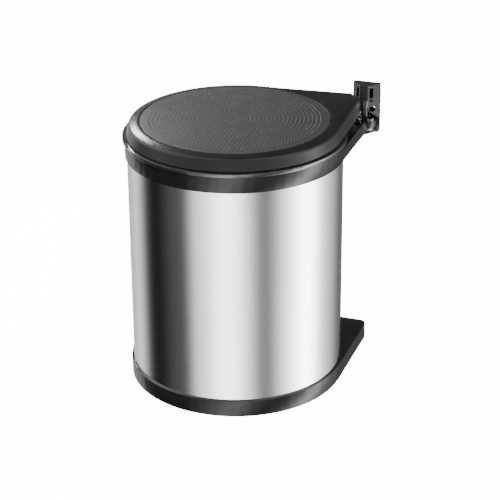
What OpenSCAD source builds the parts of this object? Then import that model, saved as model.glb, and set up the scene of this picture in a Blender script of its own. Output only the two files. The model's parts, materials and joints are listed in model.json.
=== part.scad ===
// Swing-out waste bin for a kitchen cabinet: a round steel bin on a wall bracket,
// with a lid that a fixed cam lifts as the bin swings out.
//
// The origin is on the wall plane, midway between the bracket's two screw holes.
// +X runs along the wall, +Y points into the wall and +Z is up.
// Most parts are drawn about the bin's own axis, with z measured from the underside
// of the base, and at_bin() carries them to the row's frame.

/* [Shell] */
// Outer diameter of the steel shell
shell_d = 260; // [220:5:320]
// Height of bare steel between the base and the ring
shell_show = 271; // [180:1:400]
// Thickness of the steel sheet
shell_t = 0.7; // [0.5:0.1:1.2]
// Depth that the sheet enters the ring and the base
shell_seat = 8; // [5:0.5:12]

/* [Base] */
// Height of the base
base_h = 20; // [16:1:30]
// Wall of the base and the ring outside the sheet
skirt_t = 2.3; // [1.8:0.1:3.5]
// Wall of the base and the ring inside the sheet
groove_t = 2.4; // [1.8:0.1:3.5]
// Thickness of floors, webs and ribs
web_t = 3; // [2:0.1:4]
// Corner radius of the base's tail
tail_corner = 10; // [5:1:20]

/* [Ring] */
// Height of the ring's band
ring_h = 22; // [18:1:30]
// How far the tail's walls end below the ring's top
tail_drop = 7; // [5:0.5:8]
// Depth of the pocket inside the tail's walls
tail_pocket = 6; // [5:0.5:8]

/* [Bucket] */
// Wall of the bucket
bucket_t = 1.5; // [1.2:0.1:2.5]
// Gap between the bucket and the ring's inner edge
bucket_gap = 1; // [0.6:0.1:2]
// Narrowing of the bucket's radius from top to bottom
bucket_taper = 6; // [3:0.5:12]
// Gap between the bucket and the base's floor
bucket_foot_gap = 6; // [3:0.5:15]
// Overhang of the bucket's rim past the ring
rim_over = 2.6; // [1.5:0.1:4]
// Thickness of the bucket's rim
rim_t = 2; // [1.5:0.1:3]
// Wire diameter of the bucket's bail
bail_d = 3.5; // [3:0.5:5]

/* [Lid] */
// Gap between the closed lid and the bucket's rim
lid_gap = 1; // [0.6:0.1:2]
// Height of the lid's side
lid_side = 14; // [10:0.5:20]
// How far the lid's lower edge stands out past the steel
lid_out = 0.5; // [0:0.1:1]
// How far the lid's side leans in from bottom to top
lid_lean = 3.8; // [2:0.1:6]
// Crown of the lid's rim above its side
lid_crown = 2.2; // [1.5:0.1:4]
// Wall of the lid
lid_t = 2.2; // [1.6:0.1:3]
// Diameter of the textured disc
disc_d = 227; // [180:1:227]
// Thickness of the textured disc
disc_t = 2.2; // [1.5:0.1:3]
// Rise of the lid's tail above the lid's side
tail_rise = 5.6; // [4:0.1:7]

/* [Pivot] */
// Distance from the pivot's axis to the wall
pivot_wall = 16; // [14:0.5:20]
// Pivot's axis, measured in from the steel's side
pivot_inset_x = 5; // [4:0.5:7]
// Pivot's axis, measured in from the steel's back
pivot_inset_y = 6.5; // [5:0.5:8]
// Diameter of the pivot pin
pin_d = 8; // [6:0.5:9]
// Running clearance of pins in their bores, on the radius
run_gap = 0.05; // [0.02:0.01:0.1]
// Gap between the barrel and the wall
barrel_gap = 0.5; // [0.3:0.1:1]
// How far the barrel reaches below the ring
barrel_below = 3; // [2:0.5:5]

/* [Bracket] */
// Width of the bracket
bracket_w = 33.6; // [32:0.2:36]
// Width of the bracket's front face
bracket_front_w = 10; // [8:0.5:12]
// Depth of the bracket from the wall
bracket_depth = 18; // [16:0.5:22]
// Height of the bracket above the screw holes
bracket_up = 31; // [26:1:40]
// Height of the bracket's lowest corner below the screw holes
bracket_down = 13; // [11:0.5:14]
// Wall of the bracket
bracket_t = 2.5; // [2:0.1:3]
// How far the back plate reaches below the screw holes
plate_down = 34; // [30:1:38]
// Distance between the two screw holes
screw_pitch = 19.4; // [18:0.1:21]
// Diameter of the holes in the bracket's front that a screwdriver reaches through
access_d = 7; // [5:0.1:7]
// Diameter of the screw holes in the bracket's back plate
screw_d = 4.5; // [4:0.1:5]
// Thickness of the bracket's back plate
plate_t = 2; // [1.5:0.1:2.5]

/* [Lid lift] */
// Distance from the pivot's axis to the lid's hinge
hinge_off = 24; // [22:0.5:28]
// Diameter of the hinge pin
hinge_d = 5; // [4:0.5:6]
// Radius of the follower ball
ball_r = 4.2; // [3.5:0.1:4.5]
// Radius of the lift cam at rest
cam_r0 = 5; // [4.8:0.1:6]
// Degrees that the lid lifts for each degree that the bin swings
lift_ratio = 0.3333; // [0.2:0.01:0.34]
// Degrees that the bin swings out
swing_deg = 90; // [60:5:95]

/* [Hidden] */
$fn = 96;
e = 0.01;

black = [0.10, 0.10, 0.105];
dark = [0.16, 0.16, 0.165];
steel = [0.78, 0.79, 0.80];
white = [0.92, 0.92, 0.90];
red = [0.62, 0.05, 0.12];
grey = [0.45, 0.45, 0.46];

fit = 0.3;
shell_r = shell_d / 2;
sheet_in_r = shell_r - shell_t;
outer_r = shell_r + fit / 3 + skirt_t;
skirt_in_r = shell_r + fit / 3;
groove_r = sheet_in_r - fit;
inner_r = groove_r - groove_t;
mouth_r = inner_r - 2;

z_floor = base_h - shell_seat - web_t;
z_sheet = z_floor + web_t;
z_ring = base_h + shell_show;
z_sheet_top = z_ring + shell_seat;
z_ring_top = z_ring + ring_h;
z_rim = z_ring_top + rim_t;
z_lid = z_rim + lid_gap;
z_side = z_lid + lid_side;
z_disc = z_side + lid_crown;
z_recess = z_disc - disc_t;
z_tail = z_ring_top - tail_drop;
z_plate = z_tail - tail_pocket;
z_screw = z_ring_top + 2;

pivot_x = shell_r - pivot_inset_x;
pivot_y = shell_r - pivot_inset_y;
pin_r = pin_d / 2;
barrel_r = pivot_wall - barrel_gap;
barrel_t = 1.5;
z_barrel = z_ring - barrel_below;
z_barrel_top = z_plate + 2;
clip_t = 1.2;
z_clip = z_barrel + web_t;
clip_r = barrel_r - barrel_t - 0.4;
hub_r = pin_r + 2.5;

hinge_r = hinge_d / 2;
knuckle_r = hinge_r + 1.5;
z_hinge = z_side - 3.5;
z_ball = z_ring_top - 2;
heel_h = z_hinge - z_ball;
touch = ball_r + 0.15;
ball_off = cam_r0 + touch;
heel_t = hinge_off - ball_off;
cam_low = z_barrel_top + 0.5;
z_socket = z_ring_top + 5.5;
z_front = z_screw - 1;

lid_r = shell_r + lid_out;
side_r = lid_r - lid_lean;
disc_r = disc_d / 2;
recess_r = disc_r + 0.2;
tail_in = 4;
lid_end = 8.5;
notch_in = 10;
notch_front = 16;
notch_back = 9;
cut_sum = pivot_x + pivot_y - lid_end * sqrt(2);

// Carries a part drawn about the bin's axis to the row's frame
module at_bin() {
    translate([-pivot_x, -pivot_wall - pivot_y, -z_screw]) children();
}

// Carries a part drawn about the pivot, with +X pointing away from the bin, to the row's frame
module at_arm() {
    at_bin() translate([pivot_x, pivot_y, 0]) rotate(45) children();
}

// A tube, as every ring, bush and collar is one
module tube(r_out, r_in, z0, z1) {
    translate([0, 0, z0]) difference() {
        cylinder(r = r_out, h = z1 - z0);
        translate([0, 0, -1]) cylinder(r = r_in, h = z1 - z0 + 2);
    }
}

// A solid cylinder between two heights
module disc(r, z0, z1) {
    translate([0, 0, z0]) cylinder(r = r, h = z1 - z0);
}

// A cylinder along the lid's hinge, between two places on it
module across(r, y0, y1) {
    translate([-hinge_off, y0, z_hinge]) rotate([-90, 0, 0]) cylinder(r = r, h = y1 - y0);
}

// ---- Fixed parts ----

bracket_half = bracket_w / 2;
front_half = bracket_front_w / 2;
side_depth = bracket_depth - (bracket_half - front_half);

// The bracket's plan, t inside its outline; its back lies on the wall
module bracket_plan(t, back) {
    k = t * (sqrt(2) - 1);
    polygon([[-bracket_half + t, back], [-bracket_half + t, -side_depth + k],
             [-front_half + k, -bracket_depth + t], [front_half - k, -bracket_depth + t],
             [bracket_half - t, -side_depth + k], [bracket_half - t, back]]);
}

// The openings in the bracket's front on the side that s points to: the hole that a screw
// is driven through, and above it a slot with a small round hole under it
module bracket_cuts(s) {
    slot_off = 8.6;
    slot_w = 3.8;
    slot_h = 12.5;
    slot_below_top = 16.5;
    peep_r = 1.6;
    peep_drop = 3.6;
    depth = bracket_depth + 1 - plate_t;
    z_slot = bracket_up - slot_below_top;
    translate([s * screw_pitch / 2, -plate_t, 0]) rotate([90, 0, 0]) cylinder(d = access_d, h = depth);
    translate([s * screw_pitch / 2, 1, 0]) rotate([90, 0, 0]) cylinder(d = screw_d, h = plate_t + 2);
    translate([s * slot_off - slot_w / 2, -plate_t - depth, z_slot]) cube([slot_w, depth, slot_h]);
    translate([s * slot_off, -plate_t, z_slot - peep_drop]) rotate([90, 0, 0])
        cylinder(r = peep_r, h = depth);
}

// The back plate's lower part, which runs down behind the pivot and ends in round corners
module back_plate() {
    corner = 5;
    rotate([90, 0, 0]) linear_extrude(plate_t) hull() {
        translate([-bracket_half, -bracket_down]) square([bracket_w, e]);
        for (s = [-1, 1]) translate([s * (bracket_half - corner), corner - plate_down]) circle(r = corner);
    }
}

// The slope that the bracket's lower edge is cut to, on the side that s points to
module bracket_slope(s) {
    reach = bracket_half - front_half;
    drop = bracket_down - 1;
    rotate([90, 0, 0]) translate([0, 0, plate_t]) linear_extrude(bracket_depth)
        polygon([[0, -1], [s * front_half, -1], [s * (front_half + reach), -1 - drop],
                 [s * (bracket_half + 1), -1 - drop], [s * (bracket_half + 1), -bracket_down - 2],
                 [0, -bracket_down - 2]]);
}

module wall_bracket() {
    cap_t = bracket_t;
    socket_w = 12;
    socket_h = 9;
    rib_t = 2;
    color(dark) difference() {
        union() {
            difference() {
                translate([0, 0, -bracket_down]) linear_extrude(bracket_down + bracket_up - cap_t)
                    bracket_plan(0, 0);
                translate([0, 0, -bracket_down - 1]) linear_extrude(bracket_down + bracket_up + 2)
                    bracket_plan(bracket_t, -plate_t);
                for (s = [-1, 1]) bracket_cuts(s);
            }
            intersection() {
                translate([0, 0, -bracket_down]) linear_extrude(bracket_down + bracket_up - cap_t)
                    bracket_plan(0.5, 0);
                union() {
                    translate([-socket_w / 2, -bracket_depth, z_socket - z_screw])
                        cube([socket_w, bracket_depth, socket_h]);
                    translate([-rib_t / 2, -bracket_depth, -bracket_down])
                        cube([rib_t, bracket_depth, bracket_down + bracket_up]);
                }
            }
            translate([0, -pivot_wall, z_socket - z_screw]) cylinder(r = pin_r + 2, h = socket_h);
            back_plate();
        }
        for (s = [-1, 1]) bracket_slope(s);
        translate([0, -pivot_wall, -plate_down - 1])
            cylinder(r = barrel_r + 0.7, h = plate_down + 1 + z_barrel_top + 0.5 - z_screw);
        translate([-bracket_half - 1, -bracket_depth - 1, -bracket_down - 1])
            cube([bracket_w + 2, bracket_depth + 1 - pivot_wall + outer_r - pivot_y + 0.4,
                  bracket_down + 1 + z_barrel_top + 0.5 - z_screw]);
        translate([0, -pivot_wall, -bracket_down])
            cylinder(r = pin_r, h = bracket_down + z_pin_top - z_screw);
        translate([0, -pivot_wall, z_front - z_screw - bracket_down])
            cylinder(r = cam_r0 + 0.6, h = bracket_down + z_socket - z_front);
    }
}

module bracket_cap() {
    lip = 1.5;
    lip_h = 3;
    color(dark) {
        translate([0, 0, bracket_up - bracket_t]) linear_extrude(bracket_t) bracket_plan(0, 0);
        for (s = [-1, 1])
            translate([s * (bracket_half - bracket_t - 0.1 - lip / 2) - lip / 2,
                       -side_depth + bracket_t, bracket_up - bracket_t - lip_h])
                cube([lip, side_depth - bracket_t - plate_t - 0.3, lip_h + e]);
    }
}

z_pin = z_barrel - 3.5;
z_pin_top = z_socket + 7;

module pivot_pin() {
    groove_r = pin_r - 0.8;
    head_r = pin_r + 2.5;
    color(steel) at_arm() difference() {
        union() {
            disc(pin_r, z_pin, z_pin_top);
            disc(head_r, z_pin - 1, z_pin + 0.8);
        }
        difference() {
            disc(pin_r + 1, z_clip + 0.4, z_clip + 0.4 + clip_t);
            disc(groove_r, z_clip, z_clip + 3);
        }
    }
}

module pivot_clip() {
    color(steel) at_arm() difference() {
        disc(clip_r, z_clip + 0.4, z_clip + 0.4 + clip_t);
        disc(pin_r - 0.8, z_clip - 1, z_clip + 3);
        rotate(180) translate([0, -pin_r * 0.7, z_clip - 1]) cube([clip_r + 1, pin_r * 1.4, 4]);
    }
}

// Where the follower's centre lies, as seen from the pivot, when the bin has swung by a degrees
function follower_off(a) = hinge_off - heel_t * cos(lift_ratio * a) + heel_h * sin(lift_ratio * a);
function pitch(a) = follower_off(a) * [cos(180 + a), sin(180 + a)];
function pitch_normal(a) = let (d = pitch(a + 0.5) - pitch(a - 0.5)) [d.y, -d.x] / norm(d);
function cam_point(a) = pitch(a) - touch * pitch_normal(a);

// Height of the follower's centre at that swing
function follower_z(a) = z_hinge - heel_h * cos(lift_ratio * a) - heel_t * sin(lift_ratio * a);

// The cam is a fan of sectors; each is only as high as the follower's centre needs,
// so that the lever above the follower clears it when the lid tilts
module lift_cam() {
    sectors = 9;
    steps = 5;
    tail_deg = 25;
    part_deg = swing_deg / sectors;
    over = 0.5;
    last = cam_point(swing_deg);
    past = norm(last) * [cos(180 + swing_deg + tail_deg), sin(180 + swing_deg + tail_deg)];
    color(black) at_arm() difference() {
        union() {
            for (i = [0:sectors - 1])
                disc_sector([for (k = [0:steps]) cam_point((i + k / steps) * part_deg)],
                            follower_z(i * part_deg) + over);
            disc_sector([last, past], follower_z(swing_deg) + over);
            disc(cam_r0, cam_low, z_socket);
        }
        disc(pin_r, cam_low - 1, z_socket + 1);
    }
}

// One sector of the cam, from the pivot's axis to the given points, up to z
module disc_sector(points, z) {
    translate([0, 0, cam_low]) linear_extrude(z - cam_low) polygon(concat(points, [[0, 0]]));
}

// ---- Swinging parts ----

// The quarter of the plan that the base's tail fills, t inside its outer edge
module corner_plan(t) {
    hull() {
        square([outer_r - t, e]);
        square([e, outer_r - t]);
        translate([outer_r - tail_corner, outer_r - tail_corner]) circle(r = tail_corner - t, $fn = 32);
    }
}

// Ribs under a tail, between two heights
module tail_ribs(z0, z1) {
    rib = 2;
    intersection() {
        translate([0, 0, z0]) linear_extrude(z1 - z0) difference() {
            square(outer_r - 1);
            circle(r = inner_r);
        }
        union() {
            for (a = [32, 45, 58])
                rotate(a) translate([inner_r - 1, -rib / 2, z0]) cube([outer_r * 0.5, rib, z1 - z0]);
        }
    }
}

module ring_profile() {
    chamfer = 0.8;
    polygon([[inner_r, z_ring], [groove_r, z_ring], [groove_r, z_sheet_top],
             [skirt_in_r, z_sheet_top], [skirt_in_r, z_ring], [outer_r, z_ring],
             [outer_r, z_ring_top - chamfer], [outer_r - chamfer, z_ring_top],
             [skirt_in_r - 0.5, z_ring_top], [skirt_in_r - 0.5, z_sheet_top + web_t],
             [mouth_r, z_sheet_top + web_t], [mouth_r, z_sheet_top], [inner_r, z_sheet_top]]);
}

module hinge_post(s) {
    near = 5;
    post_t = 4;
    y0 = s > 0 ? near : -near - post_t;
    difference() {
        union() {
            across(knuckle_r, y0, y0 + post_t);
            translate([-hinge_off - knuckle_r, y0, z_plate - 1])
                cube([2 * knuckle_r, post_t, z_hinge - z_plate + 1]);
        }
        across(hinge_r + run_gap, y0 - 1, y0 + post_t + 1);
    }
}

// The barrel's outside, and the hollow inside it for the clip and the spring
module barrel_body() {
    disc(barrel_r, z_barrel, z_barrel_top);
}

module barrel_hollow() {
    difference() {
        disc(barrel_r - barrel_t, z_clip, z_barrel_top - 1.7);
        disc(hub_r + 1.5, z_clip + 2.4, z_barrel_top);
    }
    disc(hub_r, z_barrel - 1, z_barrel_top + 1);
    window_w = 22;
    rotate(-75) translate([0, -window_w / 2, z_clip]) cube([barrel_r + 1, window_w, 2.2]);
}

module ring_frame() {
    color(black) union() {
        at_bin() difference() {
            union() {
                rotate_extrude() ring_profile();
                difference() {
                    translate([0, 0, z_ring]) linear_extrude(z_tail - z_ring) difference() {
                        square(outer_r);
                        circle(r = skirt_in_r + 0.5);
                    }
                    translate([0, 0, z_plate]) linear_extrude(ring_h) square(outer_r - web_t);
                    translate([0, 0, z_ring - 1]) linear_extrude(z_plate - web_t - z_ring + 1)
                        difference() {
                            square(outer_r - web_t);
                            circle(r = outer_r - 0.5);
                        }
                }
                tail_ribs(z_ring, z_plate - 1);
            }
            // room for the pivot's barrel
            translate([pivot_x, pivot_y, z_ring - 1]) cylinder(r = barrel_r - 0.5, h = ring_h + 5);
            // the tail's walls end where the lid's tail does
            translate([pivot_x, pivot_y, z_barrel_top]) rotate(45) translate([-lid_end, -outer_r / 2, 0])
                cube([outer_r, outer_r, ring_h]);
            screw_holes(z_ring + shell_seat / 2);
            // the mouth and the sheet's groove stay clear of the tail's ribs and walls
            disc(mouth_r, z_ring - 1, z_ring_top + 1);
            tube(skirt_in_r, groove_r, z_ring - 1, z_sheet_top);
        }
        at_arm() {
            difference() {
                barrel_body();
                barrel_hollow();
            }
            for (s = [-1, 1]) hinge_post(s);
        }
    }
}

module upper_bush() {
    color(white) at_arm() tube(hub_r, pin_r + run_gap, z_clip + 2.4, z_barrel_top);
}

module lower_bush() {
    color(white) at_arm() {
        tube(hub_r, pin_r + run_gap, z_barrel, z_clip - 0.1);
        tube(hub_r + 1.5, pin_r + run_gap, z_barrel - 1.2, z_barrel);
    }
}

// A torsion spring's coil, swept from a ring of points at each step
spring_wire = 1.5;
spring_mean_r = (hub_r + 1.5 + barrel_r - barrel_t) / 2;
spring_low = z_clip + 3.4;
spring_high = z_barrel_top - 2.9;
spring_turns = 2.5;

module return_spring() {
    sides = 8;
    steps = 60;
    ring = function (i) let (
        a = 360 * spring_turns * i / steps,
        c = [spring_mean_r * cos(a), spring_mean_r * sin(a),
             spring_low + (spring_high - spring_low) * i / steps]
    ) [for (k = [0:sides - 1]) let (b = 360 * k / sides, q = spring_wire / 2)
        c + q * [cos(b) * cos(a), cos(b) * sin(a), sin(b)]];
    points = [for (i = [0:steps]) each ring(i)];
    skin = [for (i = [0:steps - 1], k = [0:sides - 1]) let (n = (k + 1) % sides)
        [i * sides + k, i * sides + n, (i + 1) * sides + n, (i + 1) * sides + k]];
    first = [for (k = [sides - 1:-1:0]) k];
    final = [for (k = [0:sides - 1]) steps * sides + k];
    color(steel) at_arm() polyhedron(points, concat(skin, [first, final]));
}

// Four radial holes through the ring's or the base's inner wall and the sheet
screw_angles = [22, 112, 202, 292];
small_screw_r = 1.5;

module screw_holes(z) {
    for (a = screw_angles)
        rotate(a) translate([inner_r - 3, 0, z]) rotate([0, 90, 0])
            cylinder(r = small_screw_r, h = 7, $fn = 24);
}

module small_screws(z) {
    head_r = 2.8;
    head_t = 1.4;
    head_out = inner_r - 0.04;
    for (a = screw_angles) rotate(a) {
        translate([head_out - head_t, 0, z]) rotate([0, 90, 0]) cylinder(r = head_r, h = head_t, $fn = 24);
        translate([head_out - e, 0, z]) rotate([0, 90, 0])
            cylinder(r = small_screw_r, h = shell_r - head_out - 0.05, $fn = 24);
    }
}

module ring_screws() {
    color(steel) at_bin() small_screws(z_ring + shell_seat / 2);
}

module base_screws() {
    color(steel) at_bin() small_screws(base_h - shell_seat / 2);
}

module steel_shell() {
    color(steel) at_bin() difference() {
        tube(shell_r, sheet_in_r, z_sheet, z_sheet_top);
        screw_holes(z_ring + shell_seat / 2);
        screw_holes(base_h - shell_seat / 2);
    }
}

// The folded seam inside the sheet, at the back
module shell_seam() {
    seam_w = 7;
    color(steel) at_bin() intersection() {
        tube(sheet_in_r, sheet_in_r - shell_t, base_h + 2, z_ring - 2);
        translate([-seam_w / 2, 0, base_h]) cube([seam_w, shell_r, shell_show]);
    }
}

module base_profile() {
    lip = 1;
    polygon([[0, z_floor], [0, z_sheet], [inner_r, z_sheet], [inner_r, base_h + lip],
             [groove_r, base_h + lip], [groove_r, z_sheet], [skirt_in_r, z_sheet],
             [skirt_in_r, base_h + lip], [outer_r, base_h + lip], [outer_r, 1], [outer_r - 1, 0],
             [outer_r - 1 - skirt_t, 0], [outer_r - 1 - skirt_t, z_floor]]);
}

module base_dish() {
    color(black) at_bin() difference() {
        union() {
            rotate_extrude() base_profile();
            difference() {
                linear_extrude(base_h) difference() {
                    corner_plan(0);
                    circle(r = outer_r - 0.5);
                }
                translate([0, 0, -1]) linear_extrude(base_h - web_t + 1)
                    corner_plan(skirt_t);
            }
            intersection() {
                tail_ribs(1, base_h - 1);
                linear_extrude(base_h) difference() {
                    corner_plan(1);
                    circle(r = outer_r - 0.5);
                }
            }
        }
        screw_holes(base_h - shell_seat / 2);
    }
}

// A rubber buffer on the back of the base's tail, which rests against the wall
module wall_buffer() {
    buffer_r = 6;
    gap = pivot_wall + pivot_y - outer_r;
    color(dark) at_bin() translate([pivot_x - 30, outer_r, base_h / 2]) rotate([-90, 0, 0])
        cylinder(r1 = buffer_r, r2 = buffer_r - 1, h = gap - 0.2, $fn = 48);
}

bucket_top_r = mouth_r - bucket_gap;
bucket_low_r = bucket_top_r - bucket_taper;
z_bucket = z_sheet + bucket_foot_gap;
rim_r = outer_r + rim_over;
z_bail = z_ring_top - 5;
bail_r = bucket_top_r - bucket_t - 4.5;

module bucket_profile() {
    lip = 1.4;
    polygon([[0, z_bucket], [bucket_low_r - 4, z_bucket], [bucket_low_r, z_bucket + 4],
             [bucket_top_r, z_ring_top], [rim_r - lip, z_ring_top], [rim_r - lip, z_ring_top - 2],
             [rim_r, z_ring_top - 2], [rim_r, z_rim], [bucket_top_r - bucket_t, z_rim],
             [bucket_low_r - bucket_t, z_bucket + 5], [bucket_low_r - 4 - bucket_t, z_bucket + bucket_t],
             [0, z_bucket + bucket_t]]);
}

module bucket() {
    color(dark) at_bin() difference() {
        rotate_extrude() bucket_profile();
        rotate(45) for (s = [-1, 1])
            translate([0, s * (bail_r - 1), z_bail]) rotate([-90 * s, 0, 0])
                cylinder(r = bail_d / 2, h = 12, $fn = 32);
    }
}

module bucket_bail() {
    color(steel) at_bin() rotate(45) {
        translate([0, 0, z_bail]) rotate(90) rotate_extrude(angle = 180)
            translate([bail_r, 0]) circle(d = bail_d, $fn = 24);
        for (s = [-1, 1])
            translate([0, s * (bail_r - bail_d / 2), z_bail]) rotate([-90 * s, 0, 0])
                cylinder(d = bail_d, h = mouth_r - bail_r, $fn = 32);
    }
}

module bail_grip() {
    half_deg = 22;
    color(dark) at_bin() rotate(45) translate([0, 0, z_bail]) rotate(180 - half_deg)
        rotate_extrude(angle = 2 * half_deg) translate([bail_r, 0]) difference() {
            circle(d = bail_d + 3, $fn = 32);
            circle(d = bail_d, $fn = 24);
        }
}

// ---- Lid ----

// The round part of the lid, from its skirt to the recess that holds the disc
module lid_profile() {
    band_in = 1.6;
    polygon([[0, z_recess], [recess_r, z_recess], [recess_r, z_disc - 0.4],
             [recess_r + 0.6, z_disc], [side_r - 1.2, z_side + 0.6], [side_r, z_side - 0.8],
             [lid_r, z_lid + 1], [lid_r - 0.4, z_lid], [lid_r - lid_t, z_lid],
             [side_r - lid_t, z_side - band_in - lid_t], [side_r - lid_t - 2, z_recess - lid_t],
             [0, z_recess - lid_t]]);
}

// A thin slice of the lid's tail: half-width r beside the bin, corner points in by end
module tail_slice(r, inset, rise, z) {
    c = cut_sum - inset;
    x = lid_r - tail_in - inset;
    translate([0, 0, z]) linear_extrude(e) polygon([[0, 0], [r, 0], [x, c - x], [c - x, x], [0, r]]);
    if (rise > 0)
        translate([0, 0, z + rise]) linear_extrude(e)
            polygon([[x - 3, c - x - 1], [c - x - 1, x - 3], [c - x - 6, x - 8], [x - 8, c - x - 6]]);
}

// The upper edge of the walls at the tail's end
module tail_edge(inset, z) {
    c = cut_sum - inset - 0.5;
    x = lid_r - tail_in - inset - 0.5;
    translate([0, 0, z]) linear_extrude(e)
        polygon([[x, c - x], [c - x, x], [c - x - 4, x - 4], [x - 4, c - x - 4]]);
}

// The tail's outer shape, or its hollow when t is the wall
module lid_tail(t) {
    hull() {
        tail_slice(lid_r - 1 - t, t, 0, z_lid - (t > 0 ? 1 : 0));
        tail_slice(side_r - 1 - t, t, 0, z_side - 0.8 - t);
        tail_edge(t, z_side + tail_rise - 2 - t);
        tail_slice(side_r - 4 - t, t + 1, tail_rise - 1.2, z_side + 1.2 - t);
    }
}

module lid_lug(s) {
    near = 10.5;
    lug_t = 3;
    y0 = s > 0 ? near : -near - lug_t;
    difference() {
        union() {
            across(knuckle_r, y0, y0 + lug_t);
            translate([-hinge_off - knuckle_r, y0, z_hinge])
                cube([2 * knuckle_r, lug_t, z_side + tail_rise - 0.7 * lid_t - z_hinge]);
        }
        across(hinge_r, y0 - 1, y0 + lug_t + 1);
    }
}

module lid_shell() {
    color(black) union() {
        at_bin() difference() {
            union() {
                rotate_extrude() lid_profile();
                difference() {
                    lid_tail(0);
                    disc(recess_r, z_recess, z_disc + 10);
                    disc(lid_r - lid_t - 2, z_lid - 5, z_recess - 1);
                }
            }
            difference() {
                lid_tail(lid_t);
                disc(recess_r + lid_t, z_recess - lid_t, z_disc + 10);
            }
            translate([pivot_x, pivot_y, z_lid - 2]) rotate(45)
                translate([-lid_end - notch_in, -notch_front, 0])
                    cube([30, notch_front + notch_back, lid_side - 2]);
        }
        at_arm() for (s = [-1, 1]) lid_lug(s);
    }
}

module lid_disc() {
    color(dark) at_bin() disc(disc_r, z_recess, z_disc);
}

liner_r = disc_r + 4;
liner_t = 2;
z_liner = z_recess - lid_t - 1.5;

module lid_liner() {
    color(black) at_bin() {
        difference() {
            disc(liner_r, z_liner - liner_t, z_liner);
            for (a = [15, 105, 195, 285])
                rotate(a) translate([liner_r - 12, 0, z_liner - 5])
                    cylinder(r = small_screw_r, h = 10, $fn = 24);
        }
        tube(liner_r, liner_r - liner_t, z_liner, z_recess - lid_t);
        tube(liner_r, liner_r - liner_t, z_rim + 2, z_liner - liner_t);
    }
}

// A soft ring below the liner, just clear of the bucket's rim
module lid_seal() {
    color(grey) at_bin() tube(liner_r + 0.6, liner_r - liner_t - 0.6, z_rim + 0.3, z_rim + 2);
}

module lid_buffers() {
    color(grey) at_bin() for (a = [100, 190, 260, 350])
        rotate(a) translate([lid_r - lid_t / 2 - 0.3, 0, z_rim + 0.3])
            cylinder(r = 0.9, h = z_lid - z_rim - 0.3, $fn = 24);
}

module liner_screws() {
    head_r = 3;
    color(steel) at_bin() for (a = [15, 105, 195, 285])
        rotate(a) translate([liner_r - 12, 0, 0]) {
            disc(small_screw_r, z_liner - liner_t, z_recess - lid_t);
            disc(head_r, z_liner - liner_t - 1.5, z_liner - liner_t);
        }
}

// The lever that the cam pushes: it hangs from the hinge and carries the follower
cap_r = ball_r * 0.69;
z_cap_top = z_ball + ball_r * 0.6 + 2.6;
heel_half = 4.2;
heel_plate_t = 1.4;
heel_plate_len = 24;
arm_half = 3;
boss_r = 2.6;
boss_h = 4;
z_arm = z_cap_top + 0.5;

module lid_heel() {
    color(black) at_arm() difference() {
        union() {
            across(knuckle_r, -heel_half, heel_half);
            translate([0, arm_half, 0]) rotate([90, 0, 0]) linear_extrude(2 * arm_half)
                polygon([[-hinge_off - 2, z_hinge], [-hinge_off + 3, z_hinge + 1],
                         [-ball_off, z_arm + boss_h], [-ball_off, z_arm],
                         [-ball_off - 5.5, z_arm], [-hinge_off - 3, z_hinge - 5]]);
            translate([-ball_off, 0, 0]) disc(boss_r, z_arm, z_arm + boss_h);
            translate([-hinge_off - heel_plate_len, -heel_half, z_recess - lid_t - heel_plate_t])
                cube([heel_plate_len, 2 * heel_half, heel_plate_t]);
        }
        across(hinge_r, -20, 20);
        translate([-ball_off, 0, 0]) disc(roller_pin_r, z_arm - 1, z_arm + 3);
        heel_screw_places() disc(small_screw_r, z_recess - 10, z_recess);
    }
}

module heel_screw_places() {
    for (x = [-hinge_off - 20, -hinge_off - 10]) translate([x, 0, 0]) children();
}

module heel_screws() {
    color(steel) at_arm() heel_screw_places() {
        disc(small_screw_r, z_recess - lid_t - heel_plate_t, z_recess - lid_t);
        disc(2.8, z_recess - lid_t - 2 * heel_plate_t, z_recess - lid_t - heel_plate_t);
    }
}

module hinge_pin() {
    color(steel) at_arm() across(hinge_r, -14, 14);
}

roller_pin_r = 1.5;

module roller_pin() {
    color(steel) at_arm() translate([-ball_off, 0, 0]) {
        disc(roller_pin_r, z_ball - ball_r * 0.6, z_arm + 3);
    }
}

// The follower is a ball with flat ends, so that it meets the cam at any tilt of the lid
module follower_roller() {
    half = ball_r * 0.6;
    color(white) at_arm() translate([-ball_off, 0, 0]) intersection() {
        translate([0, 0, z_ball]) sphere(r = ball_r);
        tube(ball_r + 1, roller_pin_r + run_gap, z_ball - half, z_ball + half);
    }
}

module follower_cap() {
    color(red) at_arm() translate([-ball_off, 0, 0])
        tube(cap_r, roller_pin_r + run_gap, z_ball + ball_r * 0.6, z_cap_top);
}

wall_bracket();
bracket_cap();
pivot_pin();
pivot_clip();
lift_cam();
ring_frame();
upper_bush();
lower_bush();
return_spring();
steel_shell();
shell_seam();
base_dish();
wall_buffer();
ring_screws();
base_screws();
bucket();
bucket_bail();
bail_grip();
lid_shell();
lid_disc();
lid_liner();
lid_seal();
lid_buffers();
liner_screws();
lid_heel();
heel_screws();
hinge_pin();
roller_pin();
follower_roller();
follower_cap();
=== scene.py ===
"""A swing-out cabinet waste bin: finishes, fine detail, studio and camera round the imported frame."""
import json
import math

import bmesh
import bpy
from mathutils import Matrix, Vector


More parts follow.
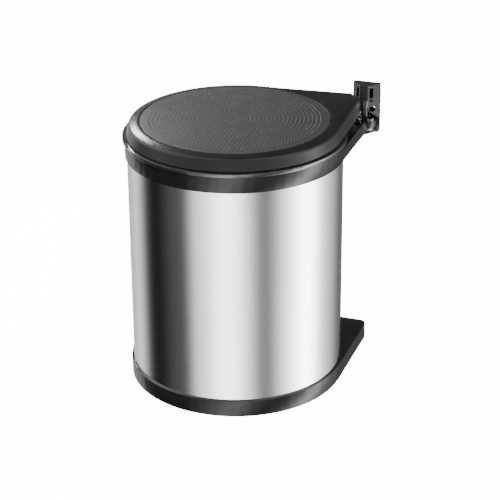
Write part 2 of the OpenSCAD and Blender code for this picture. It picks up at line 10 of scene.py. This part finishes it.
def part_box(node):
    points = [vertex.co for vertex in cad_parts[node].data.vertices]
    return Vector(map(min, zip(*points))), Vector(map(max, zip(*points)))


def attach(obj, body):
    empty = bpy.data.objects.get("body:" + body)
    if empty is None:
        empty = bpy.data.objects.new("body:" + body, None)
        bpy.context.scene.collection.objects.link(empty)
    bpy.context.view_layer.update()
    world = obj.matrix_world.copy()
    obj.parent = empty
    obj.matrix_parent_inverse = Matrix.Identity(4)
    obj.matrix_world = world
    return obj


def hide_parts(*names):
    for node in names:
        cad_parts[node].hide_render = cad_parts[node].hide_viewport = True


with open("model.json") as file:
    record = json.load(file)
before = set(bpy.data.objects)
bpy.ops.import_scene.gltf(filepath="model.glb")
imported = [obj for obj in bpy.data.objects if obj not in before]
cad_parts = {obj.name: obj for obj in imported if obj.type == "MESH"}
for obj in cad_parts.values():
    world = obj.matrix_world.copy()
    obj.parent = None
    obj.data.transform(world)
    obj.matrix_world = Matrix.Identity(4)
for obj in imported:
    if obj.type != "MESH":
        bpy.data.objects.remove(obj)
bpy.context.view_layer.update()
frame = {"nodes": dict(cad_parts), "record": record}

MM = 0.001
NODES = frame["nodes"]


def centre_of(node):
    """The middle of a node's box, in metres."""
    low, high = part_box(node)
    return (Vector(low) + Vector(high)) / 2


# The bin's own axis and the heights that the visible pieces are built to, all from the frame.
AXIS = centre_of("steel_shell")
SHELL_R = (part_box("steel_shell")[1][0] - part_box("steel_shell")[0][0]) / 2
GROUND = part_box("base_dish")[0][2]
PIVOT = centre_of("pivot_pin")


def at_bin(x, y, z):
    """A point given in millimetres from the bin's axis and the underside of its base."""
    return Vector((AXIS.x + x * MM, AXIS.y + y * MM, GROUND + z * MM))


# ---------------------------------------------------------------- camera

CAMERA_HEADING = 109.12
CAMERA_BEARING = CAMERA_HEADING - 180


def add_camera():
    """A long lens in front of the bin, to its right and above it."""
    heading = math.radians(CAMERA_HEADING)
    pitch = math.radians(24.71)
    roll = math.radians(-0.42)
    forward = Vector((math.cos(heading) * math.cos(pitch), math.sin(heading) * math.cos(pitch),
                      -math.sin(pitch)))
    right = Vector((math.sin(heading), -math.cos(heading), 0))
    up = right.cross(forward)
    tilted_right = math.cos(roll) * right + math.sin(roll) * up
    tilted_up = math.cos(roll) * up - math.sin(roll) * right
    data = bpy.data.cameras.new("camera")
    data.lens = 130.0
    data.sensor_width = 36
    camera = bpy.data.objects.new("camera", data)
    place = at_bin(677, -1901.3, 1088.4)
    camera.matrix_world = Matrix((
        (tilted_right.x, tilted_up.x, -forward.x, place.x),
        (tilted_right.y, tilted_up.y, -forward.y, place.y),
        (tilted_right.z, tilted_up.z, -forward.z, place.z),
        (0, 0, 0, 1)))
    bpy.context.collection.objects.link(camera)
    bpy.context.scene.camera = camera


# ---------------------------------------------------------------- materials

class Graph:
    """Short calls for building a material's nodes."""

    def __init__(self, name):
        self.material = bpy.data.materials.new(name)
        self.material.use_nodes = True
        self.tree = self.material.node_tree
        self.shader = self.tree.nodes["Principled BSDF"]
        self.place = self.add("ShaderNodeTexCoord").outputs["Object"]

    def add(self, kind, **values):
        node = self.tree.nodes.new(kind)
        for key, value in values.items():
            setattr(node, key, value)
        return node

    def link(self, out, into):
        self.tree.links.new(out, into)

    def set(self, **values):
        """Constants, straight onto the shader's own sockets."""
        for key, value in values.items():
            self.shader.inputs[key.replace("_", " ")].default_value = value

    def mapped(self, scale):
        node = self.add("ShaderNodeMapping")
        node.inputs["Scale"].default_value = scale
        self.link(self.place, node.inputs["Vector"])
        return node.outputs["Vector"]

    def noise(self, scale, detail=4.0, rough=0.5, stretch=(1, 1, 1)):
        node = self.add("ShaderNodeTexNoise")
        node.inputs["Scale"].default_value = scale
        node.inputs["Detail"].default_value = detail
        node.inputs["Roughness"].default_value = rough
        self.link(self.mapped(stretch), node.inputs["Vector"])
        return node.outputs["Fac"]

    def ramp(self, value, stops):
        """stops are (place, grey or colour)."""
        node = self.add("ShaderNodeValToRGB")
        points = node.color_ramp.elements
        while len(points) < len(stops):
            points.new(0.5)
        for point, (where, colour) in zip(points, stops):
            point.position = where
            point.color = (*colour, 1) if isinstance(colour, tuple) else (colour, colour, colour, 1)
        self.link(value, node.inputs["Fac"])
        return node.outputs["Color"]

    def between(self, value, low, high):
        node = self.add("ShaderNodeMapRange")
        node.inputs["To Min"].default_value = low
        node.inputs["To Max"].default_value = high
        self.link(value, node.inputs["Value"])
        return node.outputs["Result"]

    def bump(self, *layers):
        """Each layer is (height, strength, distance in metres)."""
        last = None
        for height, strength, distance in layers:
            node = self.add("ShaderNodeBump")
            node.inputs["Strength"].default_value = strength
            node.inputs["Distance"].default_value = distance
            self.link(height, node.inputs["Height"])
            if last:
                self.link(last, node.inputs["Normal"])
            last = node.outputs["Normal"]
        self.link(last, self.shader.inputs["Normal"])


def moulded(name, colour, rough, grain=0.25, spread=0.35, gloss=0.5):
    """Moulded plastic: a fine spark-eroded grain, slow shade changes and a few rubbed patches."""
    g = Graph(name)
    slow = g.noise(14, 3)
    fine = g.noise(900, 2, 0.6)
    dark = tuple(c * (1 - spread) for c in colour)
    light = tuple(c * (1 + spread) for c in colour)
    g.link(g.ramp(slow, [(0.3, dark), (0.7, light)]), g.shader.inputs["Base Color"])
    g.link(g.between(g.noise(60, 5, 0.65), rough - 0.07, rough + 0.09), g.shader.inputs["Roughness"])
    g.set(Specular_IOR_Level=gloss, IOR=1.5)
    g.bump((slow, 0.10, 0.0006), (fine, grain, 0.00006))
    return g.material


def polished_steel():
    """Polished stainless sheet with a fine grain that runs round the shell."""
    g = Graph("stainless_sheet")
    grain = g.noise(1.0, 3, 0.55, (60, 60, 5200))
    smear = g.noise(5, 3)
    tint = g.ramp(smear, [(0.3, (0.74, 0.745, 0.75)), (0.7, (0.80, 0.80, 0.805))])
    g.link(tint, g.shader.inputs["Base Color"])
    g.link(g.between(grain, 0.13, 0.21), g.shader.inputs["Roughness"])
    g.set(Metallic=1.0)
    g.bump((grain, 0.05, 0.00002))
    return g.material


def plated_steel():
    """Zinc-plated wire and pins: bright, with a cloudy film."""
    g = Graph("plated_steel")
    cloud = g.noise(220, 4, 0.6)
    tint = g.ramp(cloud, [(0.3, (0.60, 0.61, 0.62)), (0.7, (0.74, 0.745, 0.75))])
    g.link(tint, g.shader.inputs["Base Color"])
    g.link(g.between(cloud, 0.22, 0.38), g.shader.inputs["Roughness"])
    g.set(Metallic=1.0)
    g.bump((g.noise(1500, 2), 0.06, 0.00003))
    return g.material


def soft_rubber():
    """Matt rubber with a dusty bloom."""
    g = Graph("soft_rubber")
    bloom = g.noise(90, 5, 0.7)
    tint = g.ramp(bloom, [(0.35, (0.030, 0.030, 0.030)), (0.7, (0.065, 0.064, 0.062))])
    g.link(tint, g.shader.inputs["Base Color"])
    g.link(g.between(bloom, 0.65, 0.85), g.shader.inputs["Roughness"])
    g.bump((g.noise(1200, 3), 0.3, 0.00005))
    return g.material


def floor_paint():
    """A plain pale floor, lit through from below as a studio table is."""
    g = Graph("studio_floor")
    g.link(g.ramp(g.noise(2, 2), [(0.3, 0.90), (0.7, 0.92)]), g.shader.inputs["Base Color"])
    g.set(Roughness=0.9, Specular_IOR_Level=0.1, Emission_Color=(1, 1, 1, 1), Emission_Strength=13.0)
    return g.material


FINISH = {
    "black_plastic": moulded("black_plastic", (0.0085, 0.0085, 0.0090), 0.20, 0.04, gloss=0.25),
    "textured_plastic": moulded("textured_plastic", (0.023, 0.023, 0.024), 0.34, 0.10, 0.08, gloss=0.45),
    "bracket_plastic": moulded("bracket_plastic", (0.013, 0.013, 0.014), 0.28, 0.08, gloss=0.35),
    "bucket_plastic": moulded("bucket_plastic", (0.016, 0.016, 0.017), 0.13, 0.03, gloss=0.8),
    "stainless": polished_steel(),
    "plated_steel": plated_steel(),
    "white_nylon": moulded("white_nylon", (0.80, 0.80, 0.78), 0.40, 0.2, 0.04),
    "red_plastic": moulded("red_plastic", (0.42, 0.012, 0.045), 0.30, 0.15, 0.12),
    "rubber": soft_rubber(),
}


def paint(obj, slot):
    """Gives a piece one finish, in its one material slot."""
    obj.data.materials.clear()
    obj.data.materials.append(FINISH[slot])


def paint_frame():
    """Gives every CAD node the finish of its slot."""
    for part in frame["record"]["subparts"]:
        node = NODES[part["node"]]
        for place in node.material_slots:
            place.material = FINISH[part["material_slot"]]


# ---------------------------------------------------------------- mesh building

def make(name, points, faces, slot, body, smooth_below=32):
    """A mesh piece from points and faces, riding on a body."""
    mesh = bpy.data.meshes.new(name)
    mesh.from_pydata([tuple(p) for p in points], [], faces)
    work = bmesh.new()
    work.from_mesh(mesh)
    bmesh.ops.recalc_face_normals(work, faces=work.faces)
    work.to_mesh(mesh)
    work.free()
    mesh.shade_smooth()
    mesh.set_sharp_from_angle(angle=math.radians(smooth_below))
    piece = bpy.data.objects.new(name, mesh)
    bpy.context.collection.objects.link(piece)
    paint(piece, slot)
    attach(piece, body)
    return piece


def loft(name, loops, slot, body, wrap=False, smooth_below=32):
    """A skin over closed loops of equal length; its ends are capped, or joined when it wraps round."""
    count = len(loops[0])
    points = [p for loop in loops for p in loop]
    rows = len(loops)
    faces = []
    for i in range(rows if wrap else rows - 1):
        a, b = i * count, (i + 1) % rows * count
        for k in range(count):
            n = (k + 1) % count
            faces.append((a + k, a + n, b + n, b + k))
    if not wrap:
        faces.append(tuple(range(count)))
        faces.append(tuple(range((rows - 1) * count, rows * count)))
    return make(name, points, faces, slot, body, smooth_below)


def rounded(path, steps=5):
    """A path of (r, z, radius) with each corner turned into an arc of that radius."""
    out = []
    for i, (r, z, radius) in enumerate(path):
        here = Vector((r, z))
        if radius <= 0 or i in (0, len(path) - 1):
            out.append(here)
            continue
        before = (Vector(path[i - 1][:2]) - here).normalized()
        after = (Vector(path[i + 1][:2]) - here).normalized()
        half = before.angle(after) / 2
        reach = radius / math.tan(half)
        middle = here + (before + after).normalized() * radius / math.sin(half)
        start, stop = here + before * reach - middle, here + after * reach - middle
        for k in range(steps + 1):
            t = k / steps
            out.append(middle + ((1 - t) * start + t * stop).normalized() * radius)
    return out


def turned(name, path, slot, body, steps=256):
    """A piece turned about the bin's axis from a path of (r, z) in millimetres."""
    loops = [[at_bin(p.x * math.cos(2 * math.pi * k / steps), p.x * math.sin(2 * math.pi * k / steps), p.y)
              for k in range(steps)] for p in path]
    return loft(name, loops, slot, body, True)


# ---------------------------------------------------------------- pieces

def steel_skin():
    """The shell as one smooth sheet, fine enough for clean reflections."""
    low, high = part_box("steel_shell")
    r = SHELL_R / MM
    z0 = (low[2] - GROUND) / MM
    z1 = (high[2] - GROUND) / MM
    sheet = 0.7
    levels = [z0 + (z1 - z0) * k / 12 for k in range(13)]
    path = [Vector((r, z)) for z in levels] + [Vector((r - sheet, z)) for z in reversed(levels)]
    skin = turned("steel_skin", path, "stainless", "bin", 384)
    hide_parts("steel_shell")


LID_R = SHELL_R / MM + 0.5
CORNER = (126.5, 110.0)
CORNER_R = 3.0
DISC_R = 113.5
NOTCH_LOW = (-0.0185, -0.016, -0.002)
NOTCH_HIGH = (0.0155, 0.009, 0.010)
Z_DISC = (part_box("lid_disc")[1][2] - GROUND) / MM
Z_LID = (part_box("lid_shell")[0][2] - GROUND) / MM


def tail_outline(r, inset):
    """The lid's outline at one level: a circle of radius r, and two rounded corners drawn tight round it.

    Returns (x, y, how far out along the tail, from 0 to 1)."""
    ax, ay = CORNER[0] - inset, CORNER[1] - 0.414 * inset
    ax, ay = ax - CORNER_R, ay - 0.414 * CORNER_R
    far = math.hypot(ax, ay)
    turn = math.atan2(ay, ax) - math.acos((r - CORNER_R) / far)
    out = []

    def arc(cx, cy, radius, start, stop, count):
        for k in range(count):
            t = start + (stop - start) * k / (count - 1)
            out.append((cx + radius * math.cos(t), cy + radius * math.sin(t)))

    def line_to(x, y, count):
        x0, y0 = out[-1]
        for k in range(1, count):
            out.append((x0 + (x - x0) * k / count, y0 + (y - y0) * k / count))

    half = math.pi / 4
    arc(0, 0, r, math.pi / 2 - turn, 2 * math.pi + turn, 240)
    line_to(ax + CORNER_R * math.cos(turn), ay + CORNER_R * math.sin(turn), 18)
    arc(ax, ay, CORNER_R, turn, half, 6)
    line_to(ay + CORNER_R * math.cos(half), ax + CORNER_R * math.sin(half), 10)
    arc(ay, ax, CORNER_R, half, math.pi / 2 - turn, 6)
    line_to(out[0][0], out[0][1], 18)
    reach = max(math.hypot(x, y) for x, y in out)
    return [(x, y, max(0.0, (math.hypot(x, y) - r) / (reach - r))) for x, y in out]


def level(r, inset, z, z_tail):
    """One loop of the lid: its height runs from z round the disc to z_tail at the tail's end."""
    return [at_bin(x, y, z + (z_tail - z) * t ** 0.6) for x, y, t in tail_outline(r, inset)]


def inner_level(r, z, like):
    """A round loop under the points of another loop."""
    loop = []
    for p in like:
        turn = math.atan2(p.y - AXIS.y, p.x - AXIS.x)
        loop.append(at_bin(r * math.cos(turn), r * math.sin(turn), z))
    return loop


def cut_box(piece, low, high, turn, place):
    """Cuts a box out of a piece; the box is set at a place and turned about the vertical."""
    corners = [Vector((x, y, z)) for z in (low[2], high[2]) for y in (low[1], high[1])
               for x in (low[0], high[0])]
    spin = Matrix.Rotation(turn, 3, "Z")
    mesh = bpy.data.meshes.new("cutter")
    mesh.from_pydata([tuple(place + spin @ c) for c in corners], [],
                     [(0, 2, 3, 1), (4, 5, 7, 6), (0, 1, 5, 4), (2, 6, 7, 3), (0, 4, 6, 2), (1, 3, 7, 5)])
    cutter = bpy.data.objects.new("cutter", mesh)
    bpy.context.collection.objects.link(cutter)
    trim = piece.modifiers.new("cut", "BOOLEAN")
    trim.operation = "DIFFERENCE"
    trim.solver = "EXACT"
    trim.object = cutter
    bpy.context.view_layer.update()
    done = bpy.data.meshes.new_from_object(piece.evaluated_get(bpy.context.evaluated_depsgraph_get()))
    piece.modifiers.remove(trim)
    piece.data = done
    bpy.data.objects.remove(cutter)


def lid_cover():
    """The lid's black shell: leaning side, rounded edge, band round the disc, and tail over the hinge."""
    z0, z1 = Z_LID, Z_DISC
    outer = [level(LID_R - 2.2, 2.2, z0 + 0.3, z0 + 0.3), level(LID_R - 1.8, 1.8, z0, z0),
             level(LID_R - 0.4, 0.4, z0, z0),
             level(LID_R, 0, z0 + 0.5, z0 + 0.5), level(LID_R - 0.3, 0.3, z0 + 1.5, z0 + 1.5),
             level(LID_R - 3.2, 2.4, z0 + 11.2, z0 + 15.4), level(LID_R - 3.6, 2.8, z0 + 12.6, z0 + 16.8),
             level(LID_R - 4.4, 3.6, z0 + 13.6, z0 + 17.8), level(LID_R - 5.6, 4.8, z0 + 14.2, z0 + 18.4)]
    ridge = level(LID_R - 13.0, 12.0, z1 - 0.5, z1 + 3.2)
    top = [ridge, inner_level(DISC_R + 1.6, z1, ridge), inner_level(DISC_R + 0.7, z1 - 0.05, ridge),
           inner_level(DISC_R + 0.25, z1 - 0.5, ridge), inner_level(DISC_R + 0.2, z1 - 2.2, ridge),
           inner_level(8, z1 - 2.2, ridge)]
    under = [inner_level(8, z1 - 4.4, ridge), inner_level(DISC_R + 2.4, z1 - 4.4, ridge),
             level(LID_R - 11.5, 12.0, z1 - 3.9, z1 + 0.8), level(LID_R - 8.5, 7.0, z0 + 12.0, z0 + 16.0),
             level(LID_R - 5.4, 4.6, z0 + 9.5, z0 + 13.5)]
    cover = loft("lid_cover", outer + top + under, "black_plastic", "lid", True, 40)
    notch_place = Vector((PIVOT.x, PIVOT.y, GROUND + z0 * MM))
    cut_box(cover, NOTCH_LOW, NOTCH_HIGH, math.pi / 4, notch_place)
    cover.data.shade_smooth()
    cover.data.set_sharp_from_angle(angle=math.radians(40))
    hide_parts("lid_shell")


def lid_lugs():
    """Two lugs under the tail that hold the hinge pin."""
    pin = centre_of("hinge_pin")
    out = Vector((-1, -1, 0)).normalized()
    along = Vector((-1, 1, 0)).normalized()
    up = Vector((0, 0, 1))
    for side in (-1, 1):
        edge = [pin + out * 0.004 * math.cos(t) + up * 0.004 * math.sin(t)
                for t in [math.pi + math.pi * k / 16 for k in range(17)]]
        edge += [pin + out * 0.004 + up * 0.0045, pin - out * 0.004 + up * 0.0045]
        loops = [[p + along * side * y for p in edge] for y in (0.0105, 0.0135)]
        loft(f"hinge_lug_{'left' if side > 0 else 'right'}", loops, "black_plastic", "lid")


def dotted_disc():
    """The lid's disc: a smooth border, and inside it rings of small raised dots."""
    z = Z_DISC
    path = rounded([(0.6, z - 2.15, 0), (DISC_R, z - 2.15, 0.2), (DISC_R, z, 0.35), (0.6, z, 0)], 4)
    disc = turned("lid_face", path, "textured_plastic", "lid")
    points, faces = [], []
    pitch, dot_r, dot_h, sides = 4.9, 1.2, 0.7, 8
    for row in range(1, 22):
        r = row * pitch
        count = round(2 * math.pi * row)
        for k in range(count):
            turn = 2 * math.pi * (k + 0.5 * (row % 2)) / count
            cx, cy = r * math.cos(turn), r * math.sin(turn)
            base = len(points)
            for scale, lift in ((1.0, -0.05), (0.72, 0.68 * dot_h)):
                points += [at_bin(cx + scale * dot_r * math.cos(2 * math.pi * j / sides),
                                  cy + scale * dot_r * math.sin(2 * math.pi * j / sides), z + lift)
                           for j in range(sides)]
            points.append(at_bin(cx, cy, z + dot_h))
            for j in range(sides):
                n = (j + 1) % sides
                faces.append((base + j, base + n, base + sides + n, base + sides + j))
                faces.append((base + sides + j, base + sides + n, base + 2 * sides))
            faces.append(tuple(base + j for j in reversed(range(sides))))
    make("face_dots", points, faces, "textured_plastic", "lid", 80)
    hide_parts("lid_disc")


def soften(node, width):
    """Rounds the sharp edges of a CAD node."""
    piece = NODES[node]
    weld = piece.modifiers.new("weld", "WELD")
    weld.merge_threshold = 0.00001
    bevel = piece.modifiers.new("soft_edges", "BEVEL")
    bevel.width = width * MM
    bevel.segments = 2
    bevel.limit_method = "ANGLE"
    bevel.angle_limit = math.radians(38)
    bevel.harden_normals = True


# ---------------------------------------------------------------- studio

MIDDLE = at_bin(0, 0, 200)


def add_floor():
    """A wide floor just under the base."""
    mesh = bpy.data.meshes.new("floor")
    size = 6.0
    z = GROUND - 0.0005
    corners = [(-size, -size, z), (size, -size, z), (size, size, z), (-size, size, z)]
    mesh.from_pydata(corners, [], [(0, 1, 2, 3)])
    floor = bpy.data.objects.new("floor", mesh)
    bpy.context.collection.objects.link(floor)
    floor.data.materials.append(floor_paint())
    floor.visible_glossy = False
    floor.visible_diffuse = False


def add_area(name, place, size, power, reflected=False):
    """A soft rectangular light that looks at the bin's middle; gloss mirrors it only if reflected is set."""
    data = bpy.data.lights.new(name, "AREA")
    data.shape = "RECTANGLE"
    data.size, data.size_y = size
    data.energy = power
    light = bpy.data.objects.new(name, data)
    light.location = place
    light.rotation_euler = (MIDDLE - place).to_track_quat("-Z", "Y").to_euler()
    light.visible_glossy = reflected
    bpy.context.collection.objects.link(light)


# The studio's soft panels: bearing and half-width in degrees, and brightness. A bearing counts
# counter-clockwise, seen from above, from the side of the bin that faces the camera.
# The low panels stand round the shell and the high ones look down on the lid.
LOW_PANELS = [(-165, 20, 0.85), (-132, 10, 1.05), (-68, 12, 0.09), (-41, 6.5, 0.9), (-10, 15, 5.4),
              (66, 14, 3.0), (83, 10, 9.3), (104, 19, 1.5)]
HIGH_PANELS = [(-125, 20, 2.7), (-78, 26, 1.7), (0, 35, 1.1), (75, 28, 2.6)]
LOW_TOP = -0.06
HIGH_BOTTOM = 0.10


def add_math(tree, operation, *values):
    """A maths node; each value is a number or another node's output."""
    node = tree.nodes.new("ShaderNodeMath")
    node.operation = operation
    for socket, value in zip(node.inputs, values):
        if isinstance(value, (int, float)):
            socket.default_value = value
        else:
            tree.links.new(value, socket)
    return node.outputs[0]


def panel_glow(tree, level_direction, panels):
    """The panels' light in a level direction: each fades smoothly to both sides of its bearing."""
    total = 0.0
    for bearing, half_width, brightness in panels:
        sharpness = 1 / math.radians(half_width) ** 2
        turn = math.radians(CAMERA_BEARING + bearing)
        along = tree.nodes.new("ShaderNodeVectorMath")
        along.operation = "DOT_PRODUCT"
        along.inputs[1].default_value = (sharpness * math.cos(turn), sharpness * math.sin(turn), 0)
        tree.links.new(level_direction, along.inputs[0])
        fall = add_math(tree, "SUBTRACT", along.outputs["Value"], sharpness)
        total = add_math(tree, "MULTIPLY_ADD", add_math(tree, "EXPONENT", fall), brightness, total)
    return total


def add_world():
    """Two rings of soft panels: brightness changes with the bearing, and between low and high."""
    world = bpy.data.worlds.new("studio")
    bpy.context.scene.world = world
    world.use_nodes = True
    tree = world.node_tree
    coord = tree.nodes.new("ShaderNodeTexCoord")
    flat = tree.nodes.new("ShaderNodeVectorMath")
    flat.operation = "MULTIPLY"
    flat.inputs[1].default_value = (1, 1, 0)
    tree.links.new(coord.outputs["Generated"], flat.inputs[0])
    level_direction = tree.nodes.new("ShaderNodeVectorMath")
    level_direction.operation = "NORMALIZE"
    tree.links.new(flat.outputs["Vector"], level_direction.inputs[0])
    split = tree.nodes.new("ShaderNodeSeparateXYZ")
    tree.links.new(coord.outputs["Generated"], split.inputs["Vector"])
    rise = tree.nodes.new("ShaderNodeMapRange")
    rise.inputs["From Min"].default_value = LOW_TOP
    rise.inputs["From Max"].default_value = HIGH_BOTTOM
    tree.links.new(split.outputs["Z"], rise.inputs["Value"])
    both = tree.nodes.new("ShaderNodeMix")
    tree.links.new(rise.outputs["Result"], both.inputs["Factor"])
    tree.links.new(panel_glow(tree, level_direction.outputs["Vector"], LOW_PANELS), both.inputs["A"])
    tree.links.new(panel_glow(tree, level_direction.outputs["Vector"], HIGH_PANELS), both.inputs["B"])
    tree.links.new(both.outputs["Result"], tree.nodes["Background"].inputs["Color"])


def toward(bearing, elevation, distance):
    """A place that far from the bin's middle, by bearing from the camera's side and height angle."""
    turn = math.radians(CAMERA_BEARING + bearing)
    lift = math.radians(elevation)
    aim = Vector((math.cos(turn) * math.cos(lift), math.sin(turn) * math.cos(lift), math.sin(lift)))
    return MIDDLE + distance * aim


def add_lights():
    """A key light at the left, a wide fill at the right and a small rim light behind."""
    add_area("key_light", toward(-110, 46, 0.9), (0.45, 0.45), 13)
    add_area("fill_light", toward(40, 40, 2.4), (1.6, 1.6), 30)
    add_area("rim_light", toward(-156, 30, 2.0), (0.34, 0.30), 17, reflected=True)


add_camera()
paint_frame()
steel_skin()
lid_cover()
lid_lugs()
dotted_disc()
for node_name, radius in (("ring_frame", 0.4), ("base_dish", 0.5), ("bucket", 0.6), ("wall_bracket", 0.4),
                          ("bracket_cap", 0.4)):
    soften(node_name, radius)
add_floor()
add_world()
add_lights()
